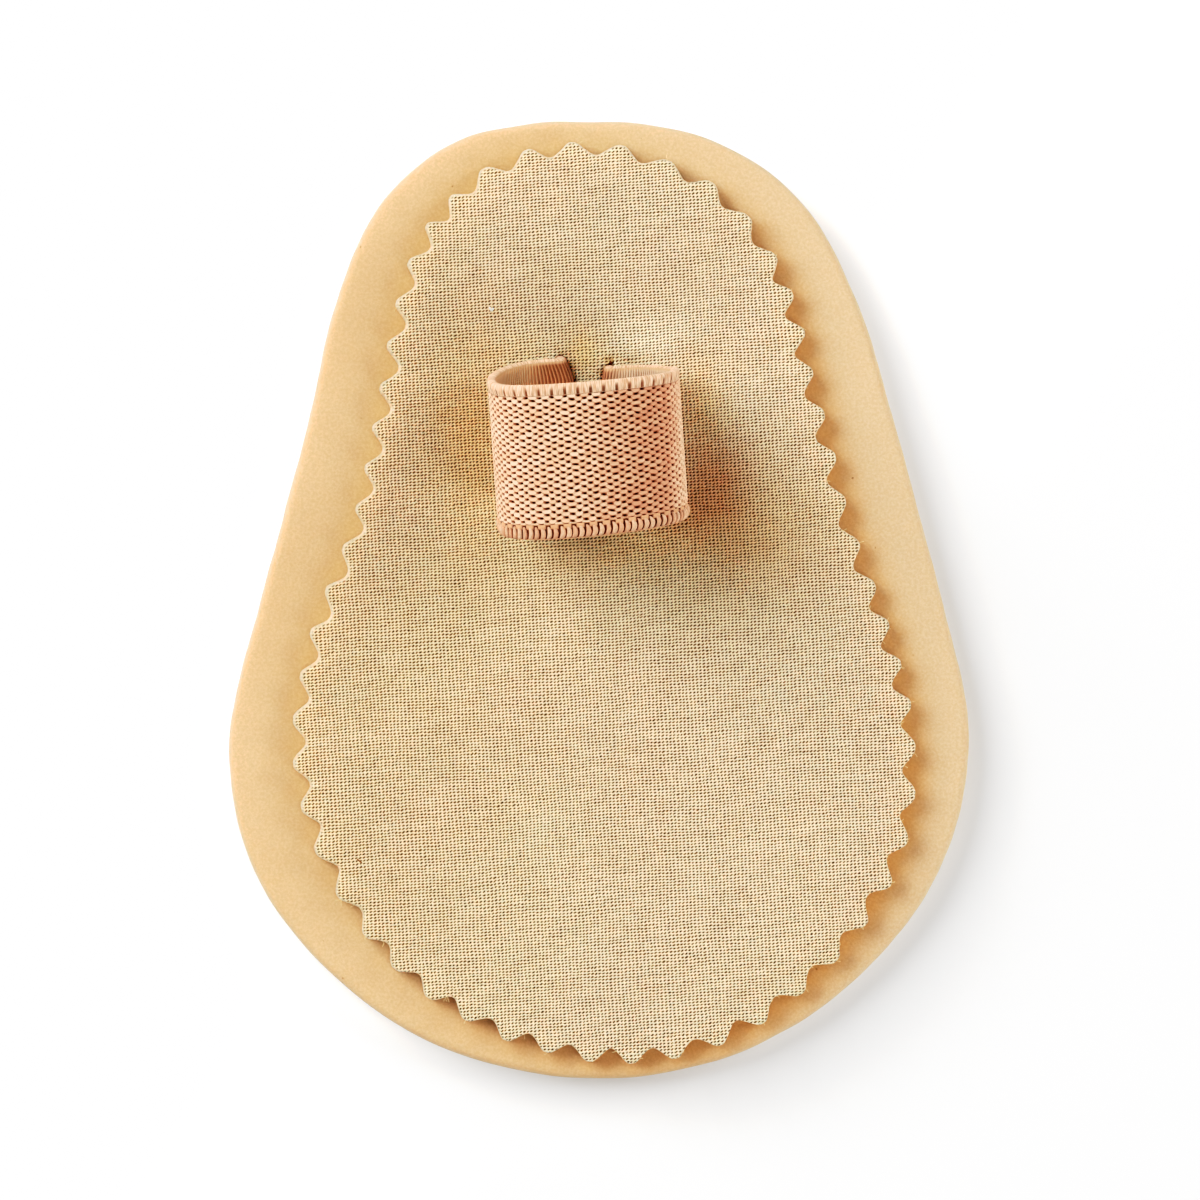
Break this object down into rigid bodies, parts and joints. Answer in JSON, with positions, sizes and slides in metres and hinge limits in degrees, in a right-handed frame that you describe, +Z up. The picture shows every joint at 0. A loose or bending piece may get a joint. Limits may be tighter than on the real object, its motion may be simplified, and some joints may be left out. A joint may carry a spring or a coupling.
{
  "type": "toe splint",
  "caption": "Flat pear-shaped foam pad with a pinked cloth cover and a wide elastic loop that holds a toe down on it.",
  "frame": {"origin": "middle of the bounding box, on the surface the pad lies on", "axes": "+Z up from that surface, +Y towards the narrow end where the toe tip lies, +X to the right seen from above"},
  "size_m": [0.07, 0.0906, 0.0182],
  "materials": {
    "foam": "matte latex foam, tan",
    "cover_cloth": "plain-weave cotton, light peach",
    "elastic": "ribbed woven elastic, pinkish peach"
  },
  "bodies": {
    "root": {"foam_base": "foam", "cover": "cover_cloth", "toe_loop": "elastic"}
  },
  "joints": []
}
